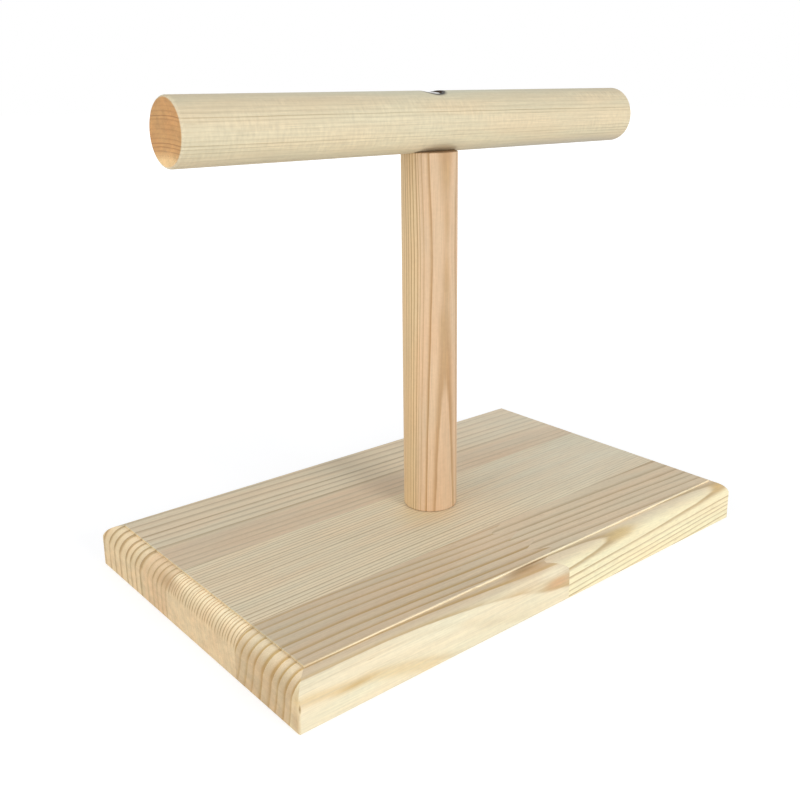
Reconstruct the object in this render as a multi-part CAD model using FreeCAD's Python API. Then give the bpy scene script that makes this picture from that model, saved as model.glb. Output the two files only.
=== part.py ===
import FreeCAD, Part
import math
import os

from FreeCAD import Vector

# A table-top training perch for a parrot: a glued pine base, an upright dowel and a cross bar.
# Lengths are millimetres. The origin is the centre of the base's underside.
# +X runs along the base and the bar, +Y towards the back, +Z up.

# Base: a panel glued up from staves, then shaped along its edges
base_length = 160.0
base_width = 100.0
base_thickness = 12.5
roundover_radius = 4.8       # quarter round worked along the four top edges
roundover_step = 0.5         # small upright shoulder left above the quarter round
corner_round = 1.0           # eased upright corners
bottom_ease = 0.4            # eased edges of the underside

# Staves: the middle one carries the post, the outer two take what is left of the base's width
middle_stave_behind = 10.0   # from the post's axis back to the rear glue line
middle_stave_ahead = 24.0    # from the post's axis forward to the front glue line

# Finger joint: the front stave is two lengths of pine, joined end to end
finger_joint_x = 1.9         # middle of the joint, from the base's centre
finger_length = 6.0
finger_count = 4             # fingers across the front stave
finger_tip = 0.8             # blunt width of a finger's tip

# Post: an upright dowel that stands on the base
post_diameter = 15.4
post_length = 101.9
post_end_ease = 0.4          # rounded rim at both ends

# Perch bar: a level dowel across the post's top
bar_diameter = 16.0
bar_length = 152.0
bar_end_ease = 0.8           # rounded rim at both ends
bar_seat_depth = 0.4         # how far the post's end is pressed into the bar's underside

# Countersunk wood screws: one down through the bar, one up through the base
screw_head_diameter = 7.0
screw_head_rim = 0.3         # upright edge of the head above its cone
screw_head_angle = 90.0      # full angle of the head's cone, degrees
screw_shank_diameter = 2.5
screw_thread_diameter = 3.5
screw_point_length = 4.5
recess_span = 3.8            # cross recess at the head's face
recess_width = 1.0
recess_depth = 1.8
recess_floor_span = 1.4      # cross recess at its floor
recess_floor_width = 0.6
shank_clearance = 0.2        # radial room round the thread where it only passes through
perch_screw_length = 40.0
perch_screw_thread = 24.0
base_screw_length = 35.0
base_screw_thread = 22.0
base_head_recess = 0.5       # keeps the lower head clear of the table

# Places that follow from the sizes
half_length = base_length / 2
half_width = base_width / 2
back_glue_y = middle_stave_behind
front_glue_y = -middle_stave_ahead
front_stave_width = half_width - middle_stave_ahead
post_radius = post_diameter / 2
post_top_z = base_thickness + post_length
bar_radius = bar_diameter / 2
bar_axis_z = post_top_z - bar_seat_depth + bar_radius
head_radius = screw_head_diameter / 2
shank_radius = screw_shank_diameter / 2
thread_radius = screw_thread_diameter / 2
passing_radius = thread_radius + shank_clearance
cone_slope = 1 / math.tan(math.radians(screw_head_angle / 2))
# The upper head sinks until its rim meets the bar's round flanks.
perch_head_z = bar_axis_z + math.sqrt(bar_radius ** 2 - head_radius ** 2)

UP = Vector(0, 0, 1)
ORIGIN = Vector(0, 0, 0)


def polygon(points):
    """Flat face inside a closed run of straight edges."""
    return Part.Face(Part.makePolygon(points + points[:1]))


def line(start, end):
    return Part.LineSegment(start, end).toShape()


def quarter_arc(start, end, centre):
    """Quarter circle between two points that stand at right angles about the centre."""
    outward = start + end - centre * 2
    middle = centre + outward * ((start - centre).Length / outward.Length)
    return Part.Arc(start, middle, end).toShape()


def turned(points):
    """Solid turned about Z from a closed outline of (radius, height) pairs."""
    outline = polygon([Vector(radius, 0, height) for radius, height in points])
    return outline.revolve(ORIGIN, UP, 360)


def panel_section(half_span, place):
    """Section of the shaped base across one span; place puts (across, height) in space."""
    arc_top = base_thickness - roundover_step
    arc_foot = arc_top - roundover_radius
    arc_inner = half_span - roundover_radius
    right_foot = place(half_span - bottom_ease, 0)
    right_side = place(half_span, bottom_ease)
    right_arc_foot = place(half_span, arc_foot)
    right_arc_top = place(arc_inner, arc_top)
    right_top = place(arc_inner, base_thickness)
    left_top = place(-arc_inner, base_thickness)
    left_arc_top = place(-arc_inner, arc_top)
    left_arc_foot = place(-half_span, arc_foot)
    left_side = place(-half_span, bottom_ease)
    left_foot = place(bottom_ease - half_span, 0)
    edges = [
        line(left_foot, right_foot),
        line(right_foot, right_side),
        line(right_side, right_arc_foot),
        quarter_arc(right_arc_foot, right_arc_top, place(arc_inner, arc_foot)),
        line(right_arc_top, right_top),
        line(right_top, left_top),
        line(left_top, left_arc_top),
        quarter_arc(left_arc_top, left_arc_foot, place(-arc_inner, arc_foot)),
        line(left_arc_foot, left_side),
        line(left_side, left_foot),
    ]
    return Part.Face(Part.Wire(edges))


def shaped_panel():
    """The whole base as one block: both edge profiles meet in a mitre at each corner."""
    long_section = panel_section(half_length, lambda across, height: Vector(across, -half_width, height))
    cross_section = panel_section(half_width, lambda across, height: Vector(-half_length, across, height))
    long_edges = long_section.extrude(Vector(0, base_width, 0))
    cross_edges = cross_section.extrude(Vector(base_length, 0, 0))
    blank = Part.makeBox(base_length, base_width, base_thickness, Vector(-half_length, -half_width, 0))
    upright = [edge for edge in blank.Edges if abs(edge.tangentAt(edge.FirstParameter).z) > 0.5]
    blank = blank.makeFillet(corner_round, upright)
    return blank.common(long_edges).common(cross_edges)


def stave(panel, low_y, high_y):
    """The strip of the panel between two glue lines."""
    strip = Part.makeBox(base_length, high_y - low_y, base_thickness, Vector(-half_length, low_y, 0))
    return panel.common(strip)


def finger_line():
    """Zigzag of the finger joint seen from above, from the front edge to the glue line."""
    pitch = front_stave_width / finger_count
    near = finger_joint_x - finger_length / 2
    far = finger_joint_x + finger_length / 2
    points = [Vector(far, -half_width, 0)]
    for finger in range(finger_count):
        start = finger * pitch - half_width
        middle = start + pitch / 2
        points.append(Vector(far, start + finger_tip / 2, 0))
        points.append(Vector(near, middle - finger_tip / 2, 0))
        points.append(Vector(near, middle + finger_tip / 2, 0))
        points.append(Vector(far, start + pitch - finger_tip / 2, 0))
    points.append(Vector(far, front_glue_y, 0))
    return points


def finger_jointed(front):
    """Cuts the front stave into the two lengths that the finger joint holds together."""
    left_corners = [Vector(-base_length, front_glue_y, 0), Vector(-base_length, -half_width, 0)]
    left_side = polygon(finger_line() + left_corners).extrude(Vector(0, 0, base_thickness))
    return front.common(left_side), front.cut(left_side)


def dowel(radius, length, ease):
    """Round bar along +Z with a rounded rim at both ends."""
    foot_centre = Vector(radius - ease, 0, ease)
    head_centre = Vector(radius - ease, 0, length - ease)
    foot_inner = Vector(radius - ease, 0, 0)
    foot_outer = Vector(radius, 0, ease)
    head_outer = Vector(radius, 0, length - ease)
    head_inner = Vector(radius - ease, 0, length)
    top = Vector(0, 0, length)
    edges = [
        line(ORIGIN, foot_inner),
        quarter_arc(foot_inner, foot_outer, foot_centre),
        line(foot_outer, head_outer),
        quarter_arc(head_outer, head_inner, head_centre),
        line(head_inner, top),
        line(top, ORIGIN),
    ]
    return Part.Face(Part.Wire(edges)).revolve(ORIGIN, UP, 360)


def cross_outline(span, width, height):
    """Outline of a cross recess at one depth."""
    reach = span / 2
    half = width / 2
    arm = [(reach, -half), (reach, half), (half, half)]
    points = []
    for turn in range(4):
        for x, y in arm:
            for step in range(turn):
                x, y = -y, x
            points.append(Vector(x, y, height))
    return Part.makePolygon(points + points[:1])


def cone_foot(radius):
    """Depth below the head's face at which its cone has narrowed to a radius."""
    return screw_head_rim + (head_radius - radius) * cone_slope


def wood_screw(length, thread):
    """Countersunk screw along -Z with its face at height 0; the thread shows as its outer size."""
    body = turned([
        (0, 0),
        (head_radius, 0),
        (head_radius, -screw_head_rim),
        (shank_radius, -cone_foot(shank_radius)),
        (shank_radius, thread - length),
        (thread_radius, thread - length),
        (thread_radius, screw_point_length - length),
        (0, -length),
    ])
    mouth = cross_outline(recess_span, recess_width, 0)
    floor = cross_outline(recess_floor_span, recess_floor_width, -recess_depth)
    return body.cut(Part.makeLoft([mouth, floor], True, True))


def head_seat(above, below):
    """Room for a screw's head and shank in the piece that it clamps, in the screw's own frame."""
    return turned([
        (0, above),
        (head_radius, above),
        (head_radius, -screw_head_rim),
        (passing_radius, -cone_foot(passing_radius)),
        (passing_radius, -below),
        (0, -below),
    ])


def pilot_hole(length, clamped):
    """Hole that the thread has cut below the clamped piece, in the screw's own frame."""
    return turned([
        (0, -clamped),
        (thread_radius, -clamped),
        (thread_radius, screw_point_length - length),
        (0, -length),
    ])


def from_above(shape):
    """Puts a shape of the screw's own frame at the upper screw."""
    return shape.translated(Vector(0, 0, perch_head_z))


def from_below(shape):
    """Puts a shape of the screw's own frame at the lower screw, head down."""
    return shape.rotated(ORIGIN, Vector(1, 0, 0), 180).translated(Vector(0, 0, base_head_recess))


# Wood that each screw clamps, from its head's face to the post's end
bar_clamped = perch_head_z - post_top_z
base_clamped = base_thickness - base_head_recess

# Base: the panel is shaped whole, then taken apart along its glue lines
panel = shaped_panel()
back_stave = stave(panel, back_glue_y, half_width)
middle_stave = stave(panel, front_glue_y, back_glue_y)
middle_stave = middle_stave.cut(from_below(head_seat(base_head_recess, base_clamped)))
front_stave_left, front_stave_right = finger_jointed(stave(panel, -half_width, front_glue_y))

# Post: stands on the middle stave, with a screw in each end
plain_post = dowel(post_radius, post_length, post_end_ease).translated(Vector(0, 0, base_thickness))
post = plain_post.cut(from_above(pilot_hole(perch_screw_length, bar_clamped)))
post = post.cut(from_below(pilot_hole(base_screw_length, base_clamped)))

# Perch bar: laid level on the post, which leaves the flat print of its end in the underside
level_dowel = dowel(bar_radius, bar_length, bar_end_ease).rotated(ORIGIN, Vector(0, 1, 0), 90)
perch_bar = level_dowel.translated(Vector(-bar_length / 2, 0, bar_axis_z))
perch_bar = perch_bar.cut(plain_post)
perch_bar = perch_bar.cut(from_above(head_seat(bar_radius, bar_clamped)))

# Every piece under the name of its node
pieces = {
    "back_stave": back_stave,
    "middle_stave": middle_stave,
    "front_stave_left": front_stave_left,
    "front_stave_right": front_stave_right,
    "post": post,
    "perch_bar": perch_bar,
    "perch_screw": from_above(wood_screw(perch_screw_length, perch_screw_thread)),
    "base_screw": from_below(wood_screw(base_screw_length, base_screw_thread)),
}

os.makedirs("parts", exist_ok=True)
for name, shape in pieces.items():
    shape.exportStep(f"parts/{name}.step")
    box = shape.optimalBoundingBox()
    size = f"{box.XLength:.2f} x {box.YLength:.2f} x {box.ZLength:.2f} mm from z {box.ZMin:.2f}"
    print(f"{name}: {len(shape.Solids)} solid, valid {shape.isValid()}, {shape.Volume:.1f} mm3, {size}")
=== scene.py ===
# %% [markdown]
# A training perch for a small parrot, dressed for its portrait. The perch is a pine base glued up from
# staves, an upright dowel and a level bar, held by two wood screws. The wooden shapes come ready made
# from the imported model. This lesson gives them their grain, makes the screws, and sets up the light and
# the camera.

# %% Load the perch
import math
from collections import namedtuple

import bpy
from mathutils import Matrix, Vector


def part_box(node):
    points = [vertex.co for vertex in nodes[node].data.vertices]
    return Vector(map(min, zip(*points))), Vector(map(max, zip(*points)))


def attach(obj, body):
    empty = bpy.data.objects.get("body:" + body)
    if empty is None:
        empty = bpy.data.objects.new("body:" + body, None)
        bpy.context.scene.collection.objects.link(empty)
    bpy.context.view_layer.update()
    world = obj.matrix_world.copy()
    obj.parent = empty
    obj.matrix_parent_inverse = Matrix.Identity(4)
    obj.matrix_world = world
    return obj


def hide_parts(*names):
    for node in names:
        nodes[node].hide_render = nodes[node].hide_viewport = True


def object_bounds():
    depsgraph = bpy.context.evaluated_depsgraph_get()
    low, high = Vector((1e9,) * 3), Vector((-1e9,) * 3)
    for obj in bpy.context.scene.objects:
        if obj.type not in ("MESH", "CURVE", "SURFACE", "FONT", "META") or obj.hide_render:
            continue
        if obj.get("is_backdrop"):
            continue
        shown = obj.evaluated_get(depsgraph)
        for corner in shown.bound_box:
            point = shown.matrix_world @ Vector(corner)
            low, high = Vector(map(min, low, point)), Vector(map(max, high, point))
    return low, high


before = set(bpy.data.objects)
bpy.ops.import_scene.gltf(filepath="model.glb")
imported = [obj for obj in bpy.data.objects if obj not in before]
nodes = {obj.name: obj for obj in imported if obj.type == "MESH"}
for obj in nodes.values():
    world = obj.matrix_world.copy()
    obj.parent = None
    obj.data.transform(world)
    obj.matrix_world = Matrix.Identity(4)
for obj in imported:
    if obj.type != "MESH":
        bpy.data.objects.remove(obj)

MM = 0.001
cad_low, cad_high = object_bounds()
print("loaded", len(nodes), "pieces, box in mm", [round(side / MM, 1) for side in cad_high - cad_low])

# %% [markdown]
# Wood is a solid pattern: the same growth rings show as stripes on one face, as flames on the next and as
# arcs on the end. A picture wrapped round a board would break at its edges, so the pine here is worked
# out from the position of each point inside the tree. That takes many small sums in nodes, so a few short
# helpers come first. Each adds one node and returns its output, so that the sums below read almost like
# plain arithmetic. A socket knows the node tree that it belongs to, so the tree need not be handed from
# one helper to the next.

# %% Helpers for sums in nodes
def feed(target, value):
    """Links a socket to an input, or sets the input's own value."""
    if isinstance(value, bpy.types.NodeSocket):
        target.id_data.links.new(value, target)
    else:
        target.default_value = value


def node_beside(kind, *values):
    """Adds a node to the tree of the first socket among the values."""
    socket = next(value for value in values if isinstance(value, bpy.types.NodeSocket))
    return socket.id_data.nodes.new(kind)


def calc(operation, *values):
    node = node_beside("ShaderNodeMath", *values)
    node.operation = operation
    for target, value in zip(node.inputs, values):
        feed(target, value)
    return node.outputs["Value"]


def times(first, second):
    return calc("MULTIPLY", first, second)


def rest_of(share):
    """What a share leaves of 1."""
    return calc("SUBTRACT", 1.0, share)


def total(base, *parts):
    """A base plus some parts, each given as (value, amount)."""
    for value, amount in parts:
        base = calc("MULTIPLY_ADD", value, amount, base)
    return base


def vector_calc(operation, first, second=(0, 0, 0)):
    node = node_beside("ShaderNodeVectorMath", first, second)
    node.operation = operation
    feed(node.inputs[0], first)
    feed(node.inputs["Scale"] if operation == "SCALE" else node.inputs[1], second)
    return node.outputs["Value"] if operation == "LENGTH" else node.outputs["Vector"]


print("node helpers ready")

# %% [markdown]
# Three more helpers do what a painter's hand would do. A soft step turns a number into a share with a
# gentle edge, a cloud is noise whose blobs have a size in millimetres, and a blend mixes two colours. In
# Blender's Mix node the colour sockets share their names with others, so they are found by their places
# in the list.

# %% Helpers for soft edges, noise and colour
MIX_SHARE = 0
MIX_FIRST = 6
MIX_SECOND = 7
MIX_RESULT = 2


def soft_step(value, low, high):
    """0 below low, 1 above high and a smooth climb between them."""
    node = node_beside("ShaderNodeMapRange", value)
    node.interpolation_type = "SMOOTHSTEP"
    feed(node.inputs["Value"], value)
    feed(node.inputs["From Min"], low)
    feed(node.inputs["From Max"], high)
    return node.outputs["Result"]


def cloud(place, size, detail=2.0):
    """Noise from about -0.5 to 0.5 whose blobs have the given size in mm."""
    node = node_beside("ShaderNodeTexNoise", place)
    node.inputs["Scale"].default_value = 1.0
    node.inputs["Detail"].default_value = detail
    feed(node.inputs["Vector"], vector_calc("DIVIDE", place, size))
    return calc("SUBTRACT", node.outputs["Fac"], 0.5)


def blend(share, first, second):
    """Mixes two colours, each a socket or (red, green, blue)."""
    node = node_beside("ShaderNodeMix", share)
    node.data_type = "RGBA"
    feed(node.inputs[MIX_SHARE], share)
    for target, colour in ((MIX_FIRST, first), (MIX_SECOND, second)):
        feed(node.inputs[target], colour if isinstance(colour, bpy.types.NodeSocket) else (*colour, 1))
    return node.outputs[MIX_RESULT]


print("painter's helpers ready")

# %% [markdown]
# A pine grows a pale soft layer each spring and a thin dark one each summer. Seen from the pith, the
# middle of the trunk, every point has a radius, and the radius says in which year it grew. So the board
# is first put into the trunk's own frame, with the trunk along X and the pith on the axis. The radius
# then wanders a little, because no trunk is round, and shrinks where a knot makes the trunk swell. Sizes
# here are in mm, along and across the trunk.

# %% Radius in the trunk
TRUNK_DRIFT = (48, 15, 15)
RAGGED_EDGE = (9, 1.5, 1.5)
RAGGED_SHARE = 0.3

Swell = namedtuple("Swell", "centre reach height")


def trunk_place(coords, turn, pith):
    """Position in mm in the trunk's frame, with the pith on the X axis, and in the perch's own frame."""
    body = vector_calc("SCALE", coords.outputs["Object"], 1 / MM)
    mapping = node_beside("ShaderNodeMapping", body)
    feed(mapping.inputs["Vector"], body)
    mapping.inputs["Rotation"].default_value = [math.radians(angle) for angle in turn]
    mapping.inputs["Location"].default_value = (0, -pith[0], -pith[1])
    return mapping.outputs["Vector"], body


def ellipsoid_share(place, centre, reach):
    """1 at the middle of an ellipsoid, 0 at its edge."""
    offset = vector_calc("SUBTRACT", place, centre)
    distance = vector_calc("LENGTH", vector_calc("DIVIDE", offset, reach))
    return rest_of(soft_step(distance, 0.0, 1.0))


def ring_radius(trunk, body, wander, swells):
    """Distance from the pith in mm, with the trunk's wander and its swells."""
    radius = vector_calc("LENGTH", vector_calc("MULTIPLY", trunk, (0, 1, 1)))
    drift = cloud(trunk, TRUNK_DRIFT)
    ragged = cloud(trunk, RAGGED_EDGE)
    radius = total(radius, (drift, wander), (ragged, wander * RAGGED_SHARE))
    for swell in swells:
        radius = total(radius, (ellipsoid_share(body, swell.centre, swell.reach), -swell.height))
    return radius


print("radius helpers ready")

# %% [markdown]
# A curve through the ends of the years turns the radius into a count of years. The fraction of a year is
# the season: the wood darkens through the summer and turns pale at once when winter comes. A second curve
# says how dark each summer was. Rings are listed as pairs of the radius where a year ends and its
# darkness. A wave texture would be quicker, but all its rings would be alike.

# %% Growth rings
SUMMER = (0.36, 0.93)
WINTER = (0.91, 1.0)
LATE_RUSH = 2.0


def ring_curve(radius, ring_ends, heights):
    """Straight lines through one height, from 0 to 1, at each ring's end."""
    first, last = ring_ends[0], ring_ends[-1]
    node = node_beside("ShaderNodeFloatCurve", radius)
    feed(node.inputs["Value"], calc("DIVIDE", calc("SUBTRACT", radius, first), last - first))
    points = node.mapping.curves[0].points
    for end, height in zip(ring_ends[1:-1], heights[1:-1]):
        points.new((end - first) / (last - first), height)
    points[0].location = (0, heights[0])
    points[len(points) - 1].location = (1, heights[-1])
    for point in points:
        point.handle_type = "VECTOR"
    node.mapping.update()
    return node.outputs["Value"]


def summer_wood(radius, rings):
    """Share of dark summer wood, from rings given as (end in mm, darkness)."""
    ends = [end for end, darkness in rings]
    count = len(rings) - 1
    years = times(ring_curve(radius, ends, [year / count for year in range(count + 1)]), count)
    season = calc("FRACT", years)
    ripening = calc("POWER", soft_step(season, *SUMMER), LATE_RUSH)
    darkness = ring_curve(radius, ends, [darkness for end, darkness in rings])
    return times(times(ripening, darkness), rest_of(soft_step(season, *WINTER)))


print("ring helpers ready")

# %% [markdown]
# The end of a board looks unlike its faces, and the way that a surface faces tells where the end is. A
# rounded end is pale at the rim, where the cutter has just begun to turn down, and shows strong rings on
# its round. The sawn face below the round is smoother. The upright corners are only eased, so they get no
# pale rim. Each range gives how far a surface turns towards the end, from 0 to 1, where its mask begins
# and where it is full.

# %% Where the end grain shows
RIM = (0.03, 0.14)
ROUNDED_END = (0.3, 1.0)
SAWN = (0.92, 1.0)
UPRIGHT_CORNER = (0.1, 0.5)
ROUND_LOST_TO_SAW = 0.9

EndMasks = namedtuple("EndMasks", "rim end_grain sawn rounded")


def end_masks(coords, end_axis, end_range):
    """Shares of rim, end grain, sawn face and round, from the direction of the surface."""
    normal = node_beside("ShaderNodeSeparateXYZ", coords.outputs["Normal"])
    feed(normal.inputs["Vector"], coords.outputs["Normal"])
    end_facing = calc("ABSOLUTE", normal.outputs[end_axis])
    corner = soft_step(calc("ABSOLUTE", normal.outputs["Y"]), *UPRIGHT_CORNER)
    rim = soft_step(calc("SUBTRACT", end_facing, corner), *RIM)
    sawn = soft_step(end_facing, *SAWN)
    rounded = times(rim, total(1.0, (sawn, -ROUND_LOST_TO_SAW)))
    return EndMasks(rim, soft_step(end_facing, *end_range), sawn, rounded)


print("end masks ready")

# %% [markdown]
# Colour comes in layers. Spring wood may have a band of heartwood between two radii, and a wide undertone
# such as sapwood. Summer wood is laid over it by the rings. Then come spots: stains and knots, and also some
# painted light and shade, such as bright lit edges and dark shade under and round parts. All are streaky,
# because the fibres take a stain unevenly. A spot is an ellipsoid in the wood, with a centre and a reach in
# mm, because that is the simplest form that can be put anywhere and stretched along the grain.

# %% Layers of colour
STREAKS = 1.4
EVEN_SPOT = 0.9
BLUSH = (26, 5, 5)
BLUSH_RANGE = (-0.25, 0.25)
COOL = (0.975, 1.0, 1.0)
WARM = (1.025, 0.985, 0.95)
PLAIN = (1, 1, 1)

Band = namedtuple("Band", "start full fade end tint")
Spot = namedtuple("Spot", "centre reach tint share")


def spring_colour(radius, body, spring, bands, undertone):
    """Spring wood with its bands of heartwood and its undertone."""
    colour = spring
    for band in bands:
        inside = soft_step(radius, band.start, band.full)
        outside = soft_step(radius, band.fade, band.end)
        colour = blend(times(inside, rest_of(outside)), colour, band.tint)
    if undertone:
        inside = ellipsoid_share(body, undertone.centre, undertone.reach)
        colour = blend(times(inside, undertone.share), colour, undertone.tint)
    return colour


def with_stains_and_painted_light(colour, body, fibre, spots):
    """A colour with spots of stain and of painted light and shade laid over it, in their order."""
    streaky = total(EVEN_SPOT, (fibre, STREAKS))
    for spot in spots:
        inside = times(ellipsoid_share(body, spot.centre, spot.reach), streaky)
        colour = blend(times(inside, spot.share), colour, spot.tint)
    return colour


def edge_tint(masks, rim_tint, end_tint):
    """What the rim and the end grain do to a colour."""
    return blend(masks.end_grain, blend(masks.rim, PLAIN, rim_tint), end_tint)


def blush_tint(trunk):
    """A drift between a cooler and a warmer cast."""
    return blend(soft_step(cloud(trunk, BLUSH), *BLUSH_RANGE), COOL, WARM)


print("colour helpers ready")

# %% [markdown]
# No board is even. Fibres run along the trunk as fine light and dark lines, broad patches are paler or
# darker, and short dark dashes are resin canals. A dowel keeps a little chatter from the cutter that
# turned it, across the grain. On a sawn end the open pores make small blotches. All of it is noise of the
# right size, stretched along the trunk where the wood itself is. The sizes are in mm, and each shade is
# the share of the brightness that a noise moves.

# %% Unevenness of the wood
FIBRE = (16, 0.32, 0.32)
FINE_FIBRE = (6, 0.12, 0.12)
PATCH = (45, 6, 6)
MOTTLE = (1.3, 0.9, 0.9)
CHATTER = (0.8, 2.5, 2.5)
CHATTERED_PATCH = (-0.1, 0.15)
PORE_BLOTCH = (3, 2.4, 1.6)
CANAL_CELL = (11, 1.3, 1.3)
CANAL_WIDTH = (0.05, 0.16)
CANAL_CHOICE = (0.62, 0.66)
MEAN_SHADE = 1.01
PATCH_SHADE = 0.14
FIBRE_SHADE = 0.3
FINE_FIBRE_SHADE = 0.28
MOTTLE_SHADE = 0.14
PORE_SHADE = 0.5


def resin_canals(trunk):
    """Thin dashes along the trunk, in about a third of the cells."""
    cells = node_beside("ShaderNodeTexVoronoi", trunk)
    cells.inputs["Scale"].default_value = 1.0
    feed(cells.inputs["Vector"], vector_calc("DIVIDE", trunk, CANAL_CELL))
    thin = rest_of(soft_step(cells.outputs["Distance"], *CANAL_WIDTH))
    return times(thin, soft_step(cells.outputs["Color"], *CANAL_CHOICE))


def uneven_shade(trunk, body, fibre, fine_fibre, sawn, chatter):
    """Brightness about 1, with every kind of unevenness."""
    patch = cloud(trunk, PATCH)
    ripple = times(cloud(body, CHATTER), soft_step(patch, *CHATTERED_PATCH))
    mottle = cloud(body, MOTTLE, detail=3.0)
    pores = times(sawn, cloud(body, PORE_BLOTCH, detail=3.0))
    shade = total(MEAN_SHADE, (patch, PATCH_SHADE), (fibre, FIBRE_SHADE), (fine_fibre, FINE_FIBRE_SHADE))
    return total(shade, (ripple, chatter), (mottle, MOTTLE_SHADE), (pores, PORE_SHADE))


print("unevenness helpers ready")

# %% [markdown]
# The finish is bare sanded pine, put together from the layers above. Across the trunk the open ends of
# the fibres drink in the light, so the end grain is warmer and darker. Sanding wears the soft spring wood
# away first and leaves the summer wood proud, most of all on a rounded end, where the ridges stand about
# 0.2 mm high. That is too fine for the mesh, so a bump shows it. Hard summer wood also polishes better,
# so it is a little glossier.

# %% Bare sanded pine
SAWN_END = (0.94, 0.85, 0.7)
CUT_RIM = (1.24, 1.17, 1.05)
SUMMER_STREAK = (60, 2.5, 2.5)
SUMMER_MEAN = 1.13
SUMMER_SPREAD = 1.2
SHEEN = 0.3
ROUGHNESS = 0.62
FIBRE_ROUGHNESS = 0.3
SUMMER_POLISH = 0.14
FLAT_RIDGE = 0.007
ROUND_RIDGE = 0.11
RIDGE_BY_RIM_RINGS = 0.06
FIBRE_RELIEF = 0.024
FINE_FIBRE_RELIEF = 0.012
CANAL_DEPTH = 0.02


def new_finish(name):
    """A new material with its shader and its coordinates."""
    material = bpy.data.materials.new(name)
    material.use_nodes = True
    tree_nodes = material.node_tree.nodes
    return material, tree_nodes["Principled BSDF"], tree_nodes.new("ShaderNodeTexCoord")


def add_relief(shader, height):
    """Bumps the surface by a height in mm."""
    bump = node_beside("ShaderNodeBump", height)
    bump.inputs["Distance"].default_value = MM
    feed(bump.inputs["Height"], height)
    feed(shader.inputs["Normal"], bump.outputs["Normal"])


def pine(name, turn, pith, rings, spring, summer, wander=0.6, swells=(), bands=(), undertone=None, spots=(),
         canals=0.4, chatter=0.0, end_axis="X", end_range=ROUNDED_END, end_tint=SAWN_END, end_rings=0.5,
         rim_tint=CUT_RIM, rim_rings=0.75):
    """Solid pine; turn is in degrees, all places and radii are in mm."""
    material, shader, coords = new_finish(name)
    trunk, body = trunk_place(coords, turn, pith)
    masks = end_masks(coords, end_axis, end_range)
    radius = ring_radius(trunk, body, wander, swells)
    streak = total(SUMMER_MEAN, (cloud(trunk, SUMMER_STREAK), SUMMER_SPREAD))
    late = times(summer_wood(radius, rings), streak)
    fibre = cloud(trunk, FIBRE, detail=3.0)
    fine_fibre = cloud(trunk, FINE_FIBRE)
    canal = resin_canals(trunk)

    contrast = total(1.0, (masks.sawn, end_rings - 1), (masks.rounded, rim_rings))
    colour = spring_colour(radius, body, spring, bands, undertone)
    colour = blend(times(late, contrast), colour, summer)
    colour = with_stains_and_painted_light(colour, body, fibre, spots)
    colour = blend(times(canal, canals), colour, summer)
    colour = vector_calc("MULTIPLY", colour, edge_tint(masks, rim_tint, end_tint))
    colour = vector_calc("MULTIPLY", colour, blush_tint(trunk))
    shade = uneven_shade(trunk, body, fibre, fine_fibre, masks.sawn, chatter)
    feed(shader.inputs["Base Color"], vector_calc("SCALE", colour, shade))

    feed(shader.inputs["Roughness"], total(ROUGHNESS, (fibre, FIBRE_ROUGHNESS), (late, -SUMMER_POLISH)))
    shader.inputs["Specular IOR Level"].default_value = SHEEN
    ridge_height = total(FLAT_RIDGE, (masks.rounded, ROUND_RIDGE + RIDGE_BY_RIM_RINGS * rim_rings))
    relief = total(times(late, ridge_height), (fibre, FIBRE_RELIEF), (fine_fibre, FINE_FIBRE_RELIEF))
    add_relief(shader, total(relief, (canal, -CANAL_DEPTH)))
    return material


def dress(node_name, material):
    """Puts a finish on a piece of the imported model."""
    slots = nodes[node_name].data.materials
    slots.clear()
    slots.append(material)
    print(node_name, "wears", material.name, "with", len(material.node_tree.nodes), "nodes")


print("pine ready")

# %% [markdown]
# The base was shaped after it was glued up, so some marks run over several staves. The arris, which is the
# small shoulder above the round, faces the lamps and shows as a bright line; two long thin spots paint that
# highlight. A third spot is the grain that the cutter tore on the round of the left end, beside the rear
# glue line.

# %% Marks across the staves
front_face = round(cad_low[1] / MM, 1)
# Painted highlights: the small shoulder above the round catches the lamps and shows as a bright line.
left_arris_highlight = Spot((-75.2, 0, 12.3), (0.6, 200, 0.45), (0.84, 0.84, 0.66), 0.45)
front_arris_highlight = Spot((0, -45.2, 12.3), (200, 0.6, 0.45), (0.96, 0.85, 0.615), 1.3)
torn_grain = Spot((-78.6, 11, 10.2), (3, 8, 2.6), (0.5, 0.36, 0.22), 0.8)
print("front face at", front_face, "mm")

# %% [markdown]
# The rear stave was cut beside the heart of its tree: wide rings stand nearly upright in it, two of them
# after darker summers, and the strip along its front edge is pinkish heartwood.

# %% Rear stave
rear_rings = [
    (44.8, 0.4), (47.8, 0.35), (50.1, 0.4), (52.5, 0.45), (55, 0.5), (57.5, 0.45), (60.4, 0.3), (64.9, 0.85),
    (67.7, 0.6), (70.7, 0.6), (73.5, 1), (77.6, 0.6), (81, 0.6), (84.5, 0.5), (88, 0.5), (91.5, 0.5),
    (95, 0.5)]
pink_heart = Band(30, 32, 61.5, 64, (0.72, 0.57, 0.4))
pale_rear_end = Spot((80, 40, 12), (75, 50, 20), (0.85, 0.755, 0.58), 0.6)
rear_pine = pine(
    "rear_stave_pine", turn=(0, 0, 0.75), pith=(-40, 6), rings=rear_rings,
    spring=(0.78, 0.66, 0.475), summer=(0.47, 0.35, 0.2), bands=[pink_heart],
    spots=[pale_rear_end, torn_grain, left_arris_highlight], end_rings=1.1, rim_rings=1.3)
dress("back_stave", rear_pine)

# %% [markdown]
# The middle stave grew slowly: about thirty fine rings in thirty-four millimetres, pale and even. They
# run a little askew, and fade towards the right end. So many rings would be a long list, so a loop works
# them out. Two waves of good and bad years keep their widths from being all alike, and a third one their
# darkness.

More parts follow.
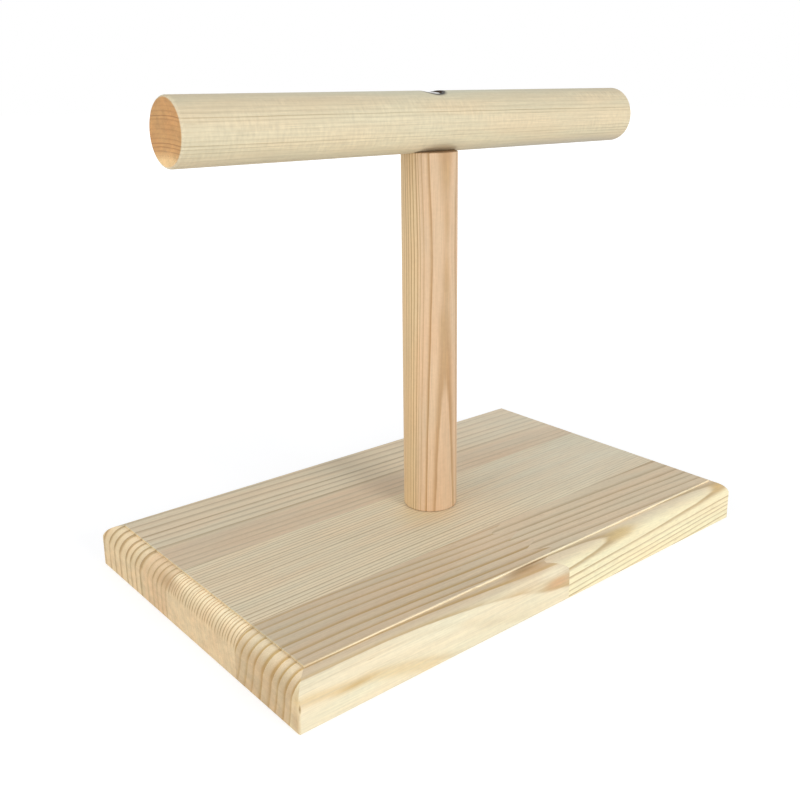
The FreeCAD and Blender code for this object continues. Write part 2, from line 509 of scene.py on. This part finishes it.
# %% Middle stave
GROWTH_SPELLS = [(0.2, 2.1, 0), (0.14, 5.3, 1)]
RIPENESS_SPELL = (0.3, 3.7, 0)


def spell(year, amount, pace, start):
    """How much better or worse a year was than most."""
    return amount * math.sin(pace * year + start)


def even_rings(first, width, count, darkness):
    """Rings of nearly even years, as (end in mm, darkness)."""
    rings = [(first, darkness)]
    for year in range(1, count):
        growth = 1 + sum(spell(year, *wave) for wave in GROWTH_SPELLS)
        ripeness = 1 + spell(year, *RIPENESS_SPELL)
        rings.append((rings[-1][0] + width * growth, darkness * ripeness))
    return rings


middle_rings = even_rings(first=90, width=1.22, count=48, darkness=0.85)
pale_middle_end = Spot((70, -6, 12), (85, 40, 40), (0.86, 0.79, 0.61), 0.75)
# Painted reflection: warm light thrown from the post onto the stave round its foot.
post_foot_painted_reflection = Spot((-7, -5, 12.5), (13, 10, 4), (0.78, 0.6, 0.34), 0.6)
middle_pine = pine(
    "middle_stave_pine", turn=(0, 0, -1.5), pith=(-130, 26), rings=middle_rings,
    spring=(0.82, 0.7, 0.5), summer=(0.52, 0.4, 0.24),
    spots=[pale_middle_end, post_foot_painted_reflection, torn_grain, left_arris_highlight],
    end_tint=(0.89, 0.79, 0.66), end_rings=0.15, rim_tint=(1.37, 1.32, 1.23), rim_rings=0.5)
dress("middle_stave", middle_pine)

# %% [markdown]
# The left length of the front stave has the most marks. A knot near the finger joint leaves brown and
# reddish stains with pale wood round them. A yellow streak of resin sinks along the front from the left
# end, and at that end a corner is brown and a splinter has come away, whose shade a dark spot paints. The
# streak bends, so it is a row of spots along a path, near enough to run into each other.

# %% Marks on the left length
resin_path = [(-78, 7.9), (-72, 7), (-66.5, 6), (-61, 6), (-56.5, 5), (-52, 3.9), (-47.5, 2.7), (-43, 1.3)]
resin_streak = [Spot((x, front_face, z), (8, 3, 1.9), (0.72, 0.56, 0.31), 0.72) for x, z in resin_path]
resin_heart = Spot((-65, front_face, 5.9), (9, 3, 1.5), (0.58, 0.42, 0.2), 0.8)
pale_round = Spot((-14, -49, 9.9), (30, 2.4, 2), (0.785, 0.685, 0.48), 0.75)
pale_joint = Spot((0, -49, 9.4), (9, 2.6, 2.3), (0.83, 0.735, 0.53), 0.9)
pale_flame = Spot((-8, front_face, 7.6), (9, 3, 2), (0.8, 0.7, 0.5), 0.8)
red_knot_stain = Spot((0.6, front_face, 6.5), (7.5, 4, 2.2), (0.66, 0.41, 0.225), 1.1)
brown_knot_stain = Spot((-8, -46.8, 11.6), (13, 2.6, 2), (0.57, 0.385, 0.21), 1.2)
knot_core = Spot((-9.4, -46.3, 11.9), (8, 1.1, 0.9), (0.42, 0.27, 0.13), 0.9)
knot_edge = Spot((-5.5, -45.4, 12.05), (11, 0.45, 0.4), (0.3, 0.18, 0.085), 1.2)
brown_corner = Spot((-80.3, -49, 2.6), (1, 4, 6.4), (0.64, 0.51, 0.35), 1.2)
# Painted shade: a dark spot where a splinter has come away from the corner.
splinter_shade = Spot((-79.55, -49.8, 6.3), (0.36, 0.36, 1.5), (0.34, 0.24, 0.11), 1.2)
front_left_spots = [
    *resin_streak, resin_heart, pale_round, pale_joint, pale_flame, red_knot_stain, left_arris_highlight, front_arris_highlight,
    brown_knot_stain, knot_core, knot_edge, brown_corner, splinter_shade]
print("left length has", len(front_left_spots), "spots")

# %% [markdown]
# Its rings stand upright on the top and lie almost flat along the front, so the front shows a few broad
# flames. The knot swells the trunk and so pushes them forward. The wood is brown heartwood but for the
# pale front, and a lighter brown on the top towards the joint.

# %% Front stave, left length
front_left_rings = [
    (31.9, 0.5), (34.7, 0.7), (37.2, 0.6), (40.1, 0.7), (42.9, 0.7), (46.4, 1), (49.9, 0.75), (52.4, 0.8),
    (55.3, 0.8), (57.6, 0.7), (59, 0), (60.25, 0.2), (63, 0.2), (66, 0.5)]
brown_heart = Band(10, 12, 56.2, 58, (0.672, 0.546, 0.382))
lighter_top = Spot((3, -32, 12.5), (36, 18, 9), (0.735, 0.6, 0.425), 1.3)
knot_swell = Swell((10, -44, 8), (75, 400, 400), 3.1)
front_left_pine = pine(
    "front_left_pine", turn=(0, 0, 0), pith=(9.6, 14.6), rings=front_left_rings,
    spring=(0.81, 0.725, 0.525), summer=(0.5, 0.34, 0.15), swells=[knot_swell], bands=[brown_heart],
    undertone=lighter_top, spots=front_left_spots,
    end_tint=(0.89, 0.815, 0.685), end_rings=0.95, rim_tint=(1.37, 1.38, 1.33), rim_rings=0.5)
dress("front_stave_left", front_left_pine)

# %% [markdown]
# The right length was cut so that its rounded edge just touches the rings. There they close into pointed
# loops, and on the front below them they run as straight lines that climb to the right. Its front is pale
# sapwood.

# %% Front stave, right length
front_right_rings = [
    (45.3, 0.6), (46.7, 0.6), (48.0, 0.6), (49.1, 0.65), (50.1, 0.6), (51.2, 0.7), (52.4, 0.6), (53.5, 0.7),
    (54.5, 0.6), (55.8, 0.7), (57.5, 0.7), (59.15, 0.75), (60.92, 0.7), (62.4, 0.7), (64.5, 0.7)]
pale_front = Spot((40, -56, 2), (160, 14.6, 15.4), (0.865, 0.78, 0.525), 5)
first_loop_tip = Spot((28, -48, 10.9), (9, 2.6, 2.6), (0.68, 0.52, 0.25), 0.9)
second_loop_tip = Spot((76, -48, 10.9), (6, 2.6, 2.6), (0.62, 0.45, 0.22), 1.0)
front_right_pine = pine(
    "front_right_pine", turn=(0, -0.64, 4.04), pith=(-11, -36), rings=front_right_rings,
    spring=(0.75, 0.62, 0.44), summer=(0.46, 0.33, 0.17), wander=0.4, undertone=pale_front,
    spots=[first_loop_tip, second_loop_tip, front_arris_highlight])
dress("front_stave_right", front_right_pine)

# %% [markdown]
# The post is a peach coloured dowel. Its trunk runs upwards, so the pattern is turned on end. The rings
# meet its left side edge on, as fine lines, and its front face on, where the last summer opens into a
# tall arch. The trunk narrows towards the top, which keeps the arch wide there. Within it a brown flame
# climbs the front as a column of spots.

# %% Post
post_rings = [
    (34, 0.5), (35.2, 0.6), (36.3, 0.5), (37.4, 0.6), (38.5, 0.6), (39.6, 0.7), (40.7, 0.8), (41.6, 0.8),
    (42.5, 0.9), (43.35, 0.9), (44.2, 0.9), (44.7, 0.6), (45.4, 0.5), (46.55, 1), (47.72, 0.7), (49, 0.5)]
yellow_side = Band(20, 21, 43, 45.5, (0.745, 0.545, 0.31))
narrow_top = Swell((0, 0, 128), (400, 400, 45), -0.9)
pale_right_side = Spot((7, -4, 62), (4.5, 6, 75), (0.7, 0.51, 0.345), 0.8)
FLAME = (0.53, 0.345, 0.18)
FLAME_TOP = (0.56, 0.37, 0.19)
brown_flame = [
    Spot((-1, -7.6, 57.5), (1.9, 2.6, 9), FLAME, 1.0),
    Spot((-1.3, -7.6, 67), (2.3, 2.6, 9), FLAME, 1.0),
    Spot((-0.6, -7.7, 80), (1.7, 2.6, 13), FLAME, 0.9),
    Spot((-0.4, -7.7, 96), (1.3, 2.6, 10), FLAME, 0.8),
    Spot((-0.5, -7.7, 109), (1.8, 2.6, 7), FLAME_TOP, 0.7)]
# The post's end tint is much darker than end grain alone: it is partly end grain and partly painted shade,
# for its top end shows only in the shaded gap under the bar.
post_pine = pine(
    "post_pine_figure", turn=(-0.69, 90, 0), pith=(40.3, -4.8), rings=post_rings,
    spring=(0.665, 0.47, 0.3), summer=(0.43, 0.26, 0.12), wander=0.35, swells=[narrow_top],
    bands=[yellow_side], spots=[pale_right_side, *brown_flame],
    end_axis="Z", end_tint=(0.45, 0.38, 0.3), rim_tint=PLAIN)
dress("post", post_pine)

# %% [markdown]
# The bar is slow grown pine too. Its rings lie level, so they meet its sides edge on: a few thin lines
# above and below its middle, and hardly any figure elsewhere. Light and shade are painted on it as well: a
# cooler lit top, a warmer lit lower front, grey shade under its right half and dark shade where it sits on
# the post. Round the screw's head the wood is bruised, and the shade in the head's recess is painted there
# too.
# Its sawn ends are orange, and the left one is paler at the bottom.

# %% Perch bar
bar_rings = [
    (50.6, 0.15), (51.6, 0.15), (52.7, 0.2), (53.8, 0.15), (54.7, 0.25), (55.7, 0.5), (56.6, 0.5),
    (57.4, 0.75), (58.5, 0.2), (59.4, 0.15), (60.5, 0.2), (61.5, 0.15), (62.6, 0.35), (63.3, 0.8),
    (64.4, 0.12), (65.4, 0.15), (66.3, 0.12), (67.4, 0.15), (68.5, 0.15)]
# Painted light and shade: cool light on the top, warm light on the lower front, shade under the right half,
# shade in the screw's recess over a real bruise, and shade where the bar sits on the post.
top_painted_cool_light = Spot((0, 0, 131), (95, 9, 4.6), (0.685, 0.655, 0.5), 1.2)
low_side_painted_warm_light = Spot((0, -6.5, 117), (95, 5, 3.5), (0.715, 0.635, 0.445), 0.8)
underside_painted_shade = Spot((50, -3, 113.4), (62, 9, 3.6), (0.5, 0.49, 0.45), 0.7)
screw_bruise_and_recess_shade = Spot((0.3, -0.2, 129.3), (4.9, 4.8, 2.5), (0.06, 0.055, 0.055), 8)
seat_painted_shade = Spot((0, 0, 113.6), (10, 7, 2.4), (0.22, 0.17, 0.11), 1.2)
pale_end_foot = Spot((-76, 0, 112.8), (0.12, 14, 6.1), (0.97, 1.07, 0.96), 2.5)
bar_pine = pine(
    "perch_bar_figure", turn=(0, -0.35, 0), pith=(0, 62), rings=bar_rings,
    spring=(0.68, 0.59, 0.41), summer=(0.44, 0.34, 0.2), wander=0.5,
    spots=[top_painted_cool_light, low_side_painted_warm_light, underside_painted_shade, screw_bruise_and_recess_shade, seat_painted_shade, pale_end_foot],
    canals=0.2, chatter=0.3, end_range=(0.8, 0.985), end_tint=(0.82, 0.51, 0.28), end_rings=1.6,
    rim_tint=PLAIN)
dress("perch_bar", bar_pine)

# %% [markdown]
# The screws are countersunk and zinc plated. Zinc settles as small spangles, some paler and some rougher
# than others. Fine noise drives all three of colour, gloss and relief, so that they agree.

# %% Zinc plated steel
SPANGLE = (0.5, 0.5, 0.5)
DULL_ZINC = (0.5, 0.5, 0.49)
BRIGHT_ZINC = (0.72, 0.72, 0.7)
SPANGLE_CONTRAST = 1.2
ZINC_ROUGHNESS = 0.3
SPANGLE_ROUGHNESS = 0.25
SPANGLE_RELIEF = 0.01


def zinc_plate():
    material, shader, coords = new_finish("zinc_plate")
    place = vector_calc("SCALE", coords.outputs["Object"], 1 / MM)
    spangle = cloud(place, SPANGLE, detail=4.0)
    brightness = total(0.5, (spangle, SPANGLE_CONTRAST))
    feed(shader.inputs["Base Color"], blend(brightness, DULL_ZINC, BRIGHT_ZINC))
    feed(shader.inputs["Roughness"], total(ZINC_ROUGHNESS, (spangle, SPANGLE_ROUGHNESS)))
    shader.inputs["Metallic"].default_value = 1.0
    add_relief(shader, times(spangle, SPANGLE_RELIEF))
    return material


steel = zinc_plate()
print("zinc plate has", len(steel.node_tree.nodes), "nodes")

# %% [markdown]
# A screw's body is turned, so it could be a profile spun about its axis. Drawing it down from a disc is
# as quick: the disc is the top of the head, and each change of width is one extrusion and one resize. An
# operator works on all that is selected, so a helper first clears the selection.

# %% Turned body
BODY_SIDES = 40


def only(piece):
    """Selects one piece and makes it active."""
    bpy.ops.object.select_all(action="DESELECT")
    piece.select_set(True)
    bpy.context.view_layer.objects.active = piece


def turned_body(name, sections):
    """Round body from sections given as (depth, radius) in mm, drawn down from a disc."""
    bpy.ops.object.select_all(action="DESELECT")
    depth, radius = sections[0]
    bpy.ops.mesh.primitive_circle_add(
        vertices=BODY_SIDES, radius=radius * MM, fill_type="NGON", location=(0, 0, -depth * MM))
    body = bpy.context.object
    body.name = name
    bpy.ops.object.mode_set(mode="EDIT")
    bpy.ops.mesh.select_all(action="SELECT")
    for next_depth, next_radius in sections[1:]:
        bpy.ops.mesh.extrude_region_move(TRANSFORM_OT_translate={"value": (0, 0, (depth - next_depth) * MM)})
        scale = next_radius / radius
        bpy.ops.transform.resize(value=(scale, scale, 1), center_override=(0, 0, -next_depth * MM))
        depth, radius = next_depth, next_radius
    bpy.ops.mesh.select_all(action="SELECT")
    bpy.ops.mesh.normals_make_consistent(inside=False)
    bpy.ops.object.mode_set(mode="OBJECT")
    return body


print("lathe ready")

# %% [markdown]
# The cross recess is punched by a tapered tool. Here the tool is a four-sided cone, squashed into a
# wedge: one wing of the cross, wide at the head's face and narrow below it. A boolean cuts with it twice,
# a quarter turn apart.

# %% Cross recess
WING_FOOT = 0.9
WING_MOUTH = 2.95
WING_HEIGHT = 2.4
WING_MIDDLE = -0.6
WING_FLATNESS = 0.26


def recess_wing(turn):
    """One wing of the cross recess."""
    bpy.ops.object.select_all(action="DESELECT")
    bpy.ops.mesh.primitive_cone_add(
        vertices=4, radius1=WING_FOOT * MM, radius2=WING_MOUTH * MM, depth=WING_HEIGHT * MM,
        location=(0, 0, WING_MIDDLE * MM), rotation=(0, 0, math.radians(45)))
    wing = bpy.context.object
    bpy.ops.object.transform_apply(location=True, rotation=True, scale=True)
    bpy.ops.transform.resize(value=(1, WING_FLATNESS, 1), center_override=(0, 0, 0))
    bpy.ops.transform.rotate(value=math.radians(turn), orient_axis="Z", center_override=(0, 0, 0))
    bpy.ops.object.transform_apply(location=True, rotation=True, scale=True)
    return wing


def cut_or_join(piece, tool, operation):
    """Applies a boolean of one piece with another, which it uses up."""
    only(piece)
    bpy.ops.object.modifier_add(type="BOOLEAN")
    modifier = piece.modifiers[-1]
    modifier.operation = operation
    modifier.solver = "EXACT"
    modifier.object = tool
    bpy.ops.object.modifier_apply(modifier=modifier.name)
    only(tool)
    bpy.ops.object.delete()
    only(piece)


print("recess tool ready")

# %% [markdown]
# The thread is a small triangle swept along a helix by a Screw modifier. The sweep leaves its two ends
# open, so they are filled, and the thread is then a solid that a boolean can join to the core.

# %% Thread
THREAD_PITCH = 1.5
THREAD_SIZE = 0.45
THREAD_PLACE = 1.3
STEPS_PER_TURN = 20


def thread_ridge(start, end):
    """Triangular ridge along a helix; start and end are depths in mm."""
    bpy.ops.object.select_all(action="DESELECT")
    bpy.ops.mesh.primitive_circle_add(
        vertices=3, radius=THREAD_SIZE * MM, fill_type="NOTHING",
        location=(THREAD_PLACE * MM, 0, -start * MM), rotation=(math.radians(90), math.radians(90), 0))
    ridge = bpy.context.object
    bpy.ops.object.transform_apply(location=True, rotation=True, scale=True)
    bpy.ops.object.modifier_add(type="SCREW")
    sweep = ridge.modifiers[-1]
    sweep.axis = "Z"
    sweep.screw_offset = -THREAD_PITCH * MM
    sweep.iterations = int((end - start) / THREAD_PITCH)
    sweep.steps = STEPS_PER_TURN
    sweep.render_steps = STEPS_PER_TURN
    bpy.ops.object.modifier_apply(modifier=sweep.name)
    bpy.ops.object.mode_set(mode="EDIT")
    bpy.ops.mesh.select_all(action="SELECT")
    bpy.ops.mesh.fill_holes(sides=3)
    bpy.ops.mesh.normals_make_consistent(inside=False)
    bpy.ops.object.mode_set(mode="OBJECT")
    return ridge


print("thread tool ready")

# %% [markdown]
# The outline of a screw is a list of depths and radii in mm: a slightly domed face, a countersunk cone, a
# plain shank, the thinner core that carries the thread, and the point. The dome is what gleams on a real
# screw. Its depths are shares of its bulge, and those of the tip are counted from the end, so one outline
# serves for every length.

# %% Outline of a screw
DOME = [(1.0, 0.9), (0.85, 1.6), (0.5, 2.5), (0.0, 3.3)]
HEAD_RADIUS = 3.5
HEAD_EDGE_TOP = 0.12
HEAD_EDGE_FOOT = 0.3
HEAD_DEPTH = 2.55
SHANK_RADIUS = 1.25
CORE_RADIUS = 1.1
CORE_TAPER = 0.3
POINT_LENGTH = 4.5
TIP = [(0.3, 0.16), (0.0, 0.04)]


def screw_outline(length, threaded, bulge):
    """Sections as (depth, radius) in mm, with the rim of the face at depth 0."""
    plain = length - threaded
    face = [(-share * bulge, radius) for share, radius in DOME]
    head = [(HEAD_EDGE_TOP, HEAD_RADIUS), (HEAD_EDGE_FOOT, HEAD_RADIUS), (HEAD_DEPTH, SHANK_RADIUS)]
    shank = [(plain, SHANK_RADIUS), (plain + CORE_TAPER, CORE_RADIUS), (length - POINT_LENGTH, CORE_RADIUS)]
    tip = [(length - from_end, radius) for from_end, radius in TIP]
    return face + head + shank + tip


print("outline has", len(screw_outline(40, 24, 0.45)), "sections")

# %% [markdown]
# Now each screw is put together. A boolean leaves slivers where the thread meets the core, so they are
# merged and dissolved, and the faces are cut into well shaped triangles. Each screw takes the length and
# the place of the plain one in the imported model, which it stands for. The upper one bulges more, and the
# lower one is turned point up.

# %% Wood screws
THREAD_START = 0.9
THREAD_END = 3.8
WELD = 0.005
SMOOTH_BELOW = 35


def clean_mesh(piece):
    """Merges slivers and cuts the faces into well shaped triangles."""
    only(piece)
    bpy.ops.object.mode_set(mode="EDIT")
    bpy.ops.mesh.select_all(action="SELECT")
    bpy.ops.mesh.remove_doubles(threshold=WELD * MM)
    bpy.ops.mesh.dissolve_degenerate(threshold=WELD * MM)
    bpy.ops.mesh.quads_convert_to_tris(quad_method="BEAUTY", ngon_method="BEAUTY")
    bpy.ops.object.mode_set(mode="OBJECT")
    bpy.ops.object.shade_smooth_by_angle(angle=math.radians(SMOOTH_BELOW))


def wood_screw(name, length, threaded, bulge, node_name):
    """Countersunk screw, point down, with the rim of its face at height 0; sizes are in mm."""
    screw = turned_body(name, screw_outline(length, threaded, bulge))
    for turn in (0, 90):
        cut_or_join(screw, recess_wing(turn), "DIFFERENCE")
    thread = thread_ridge(length - threaded + THREAD_START, length - THREAD_END)
    cut_or_join(screw, thread, "UNION")
    clean_mesh(screw)
    screw.data.materials.clear()
    screw.data.materials.append(steel)
    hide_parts(node_name)
    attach(screw, "root")
    print(name, "is", length, "mm long and has", len(screw.data.polygons), "faces")


def node_length(node_name):
    """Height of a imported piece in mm."""
    low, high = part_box(node_name)
    return round((high[2] - low[2]) / MM, 2)


upper_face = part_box("perch_screw")[1][2]
lower_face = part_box("base_screw")[0][2]
wood_screw("bar_wood_screw", node_length("perch_screw"), threaded=24, bulge=0.45, node_name="perch_screw")
bpy.ops.transform.translate(value=(0, 0, upper_face))
bpy.ops.object.transform_apply(location=True, rotation=True, scale=True)
wood_screw("foot_wood_screw", node_length("base_screw"), threaded=22, bulge=0.2, node_name="base_screw")
bpy.ops.transform.rotate(value=math.pi, orient_axis="X", center_override=(0, 0, 0))
bpy.ops.transform.translate(value=(0, 0, lower_face))
bpy.ops.object.transform_apply(location=True, rotation=True, scale=True)
print("screw heads at", round(upper_face / MM, 2), "and", round(lower_face / MM, 2), "mm")

# %% [markdown]
# A plain white studio. The floor is one large sheet of paper: close to the perch it takes the shadow, and
# further out it fades to white. What the camera sees of it glows a little, so that it is white without
# more light on the wood. For all other rays it is plain paper, which throws light up at the undersides.

# %% Floor
FLOOR_SIDE = 8
FLOOR_GAP = 0.05 * MM
SHADOW_REACH = (0.1, 0.4)
PAPER = (0.94, 0.94, 0.94)
PAPER_UNDER_GLOW = (0.4, 0.4, 0.4)
WHITE = (1, 1, 1)
NEAR_GLOW = 0.73
FAR_GLOW_MORE = 0.3


def seen_directly(tree):
    """1 for rays that show the studio itself: from the camera, or by way of a mirror or glass."""
    path = tree.nodes.new("ShaderNodeLightPath")
    mirror = calc("MAXIMUM", path.outputs["Is Glossy Ray"], path.outputs["Is Transmission Ray"])
    return calc("MAXIMUM", path.outputs["Is Camera Ray"], mirror)


bpy.ops.object.select_all(action="DESELECT")
bpy.ops.mesh.primitive_plane_add(size=FLOOR_SIDE, location=(0, 0, -FLOOR_GAP))
floor = bpy.context.object
floor.name = "studio_floor"
floor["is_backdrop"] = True
paper, paper_shader, floor_coords = new_finish("studio_paper")
paper_seen = seen_directly(paper.node_tree)
far_off = soft_step(vector_calc("LENGTH", floor_coords.outputs["Object"]), *SHADOW_REACH)
feed(paper_shader.inputs["Base Color"], blend(paper_seen, PAPER, PAPER_UNDER_GLOW))
paper_shader.inputs["Roughness"].default_value = 1.0
paper_shader.inputs["Specular IOR Level"].default_value = 0.0
paper_shader.inputs["Emission Color"].default_value = (*WHITE, 1)
glow = total(NEAR_GLOW, (far_off, FAR_GLOW_MORE))
feed(paper_shader.inputs["Emission Strength"], times(paper_seen, glow))
floor.data.materials.append(paper)
print("floor is", FLOOR_SIDE, "m wide")

# %% [markdown]
# The backdrop is the world itself: white where it is seen, and a softer, slightly cool room light for the
# wood.

# %% Backdrop
ROOM_LIGHT = 0.53
ROOM_TINT = (0.97, 1, 1.05)
world = bpy.data.worlds.new("studio")
bpy.context.scene.world = world
world.use_nodes = True
backdrop = world.node_tree.nodes["Background"]
backdrop_seen = seen_directly(world.node_tree)
feed(backdrop.inputs["Color"], blend(backdrop_seen, ROOM_TINT, WHITE))
feed(backdrop.inputs["Strength"], total(ROOM_LIGHT, (backdrop_seen, 1 - ROOM_LIGHT)))
print("room light is", ROOM_LIGHT)

# %% [markdown]
# The light is soft. Much of it comes from the white room and off the white floor, so that round pieces
# stay bright on their undersides. One low lamp in front makes the front edge the brightest, and one on
# the left fills the end grain. A lamp's level is what a white card facing it would show, so that the wood
# renders about as its colour is written.

# %% Lamps
LAMP_DISTANCE = 0.9
LAMP_TINT = (1, 0.985, 0.96)
lamp_target = Vector((0, 0, 0.05))


def soft_lamp(name, azimuth, elevation, level, size):
    """Square lamp aimed at the perch; azimuth 0 stands in front and 90 on the right, in degrees."""
    around, above = math.radians(azimuth), math.radians(elevation)
    level_share = math.cos(above)
    towards = Vector((math.sin(around) * level_share, -math.cos(around) * level_share, math.sin(above)))
    bpy.ops.object.light_add(type="AREA", location=towards * LAMP_DISTANCE + lamp_target)
    lamp = bpy.context.object
    lamp.name = name
    lamp.rotation_euler = towards.to_track_quat("Z", "Y").to_euler()
    lamp.data.size = size
    lamp.data.color = LAMP_TINT
    lamp.data.energy = level * (math.pi * LAMP_DISTANCE) ** 2
    print(name, "gives", round(lamp.data.energy, 2), "W")


soft_lamp("front_lamp", azimuth=3, elevation=16, level=0.49, size=0.35)
soft_lamp("left_lamp", azimuth=-95, elevation=14, level=0.39, size=0.6)

# %% [markdown]
# The camera stands where the photograph was taken from, well to the left of the front and just above the
# bar. Its shift puts the middle of the lens a little above the middle of the picture and to its right.

# %% Camera
camera_place = Vector((-172.70, -198.56, 132.53)) * MM
camera_azimuth = math.radians(-40.41)
camera_elevation = math.radians(15.41)
camera_roll = math.radians(-0.337)
picture_side = 800
focal_pixels = 964.4
lens_middle = (420.06, 346.35)

back = Vector((math.sin(camera_azimuth) * math.cos(camera_elevation),
               -math.cos(camera_azimuth) * math.cos(camera_elevation), math.sin(camera_elevation)))
level_right = Vector((math.cos(camera_azimuth), math.sin(camera_azimuth), 0))
right = level_right * math.cos(camera_roll) + back.cross(level_right) * math.sin(camera_roll)
turned = Matrix((right, back.cross(right), back)).transposed()
bpy.ops.object.camera_add()
camera = bpy.context.object
camera.matrix_world = Matrix.Translation(camera_place) @ turned.to_4x4()
camera.data.sensor_width = 36
camera.data.lens = focal_pixels * camera.data.sensor_width / picture_side
camera.data.shift_x = 0.5 - lens_middle[0] / picture_side
camera.data.shift_y = lens_middle[1] / picture_side - 0.5
camera.data.clip_start = 0.01
bpy.context.scene.camera = camera
bpy.context.scene.view_settings.view_transform = "Standard"
shift = [round(side, 4) for side in (camera.data.shift_x, camera.data.shift_y)]
print("lens", round(camera.data.lens, 2), "mm, shift", shift)

# %% [markdown]
# Last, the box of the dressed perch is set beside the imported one, to show that nothing grew.

# %% Sizes and finish
visual_low, visual_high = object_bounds()
growth = (visual_high - visual_low) - (cad_high - cad_low)
print("box grew by", [round(side / MM, 3) for side in growth], "mm")
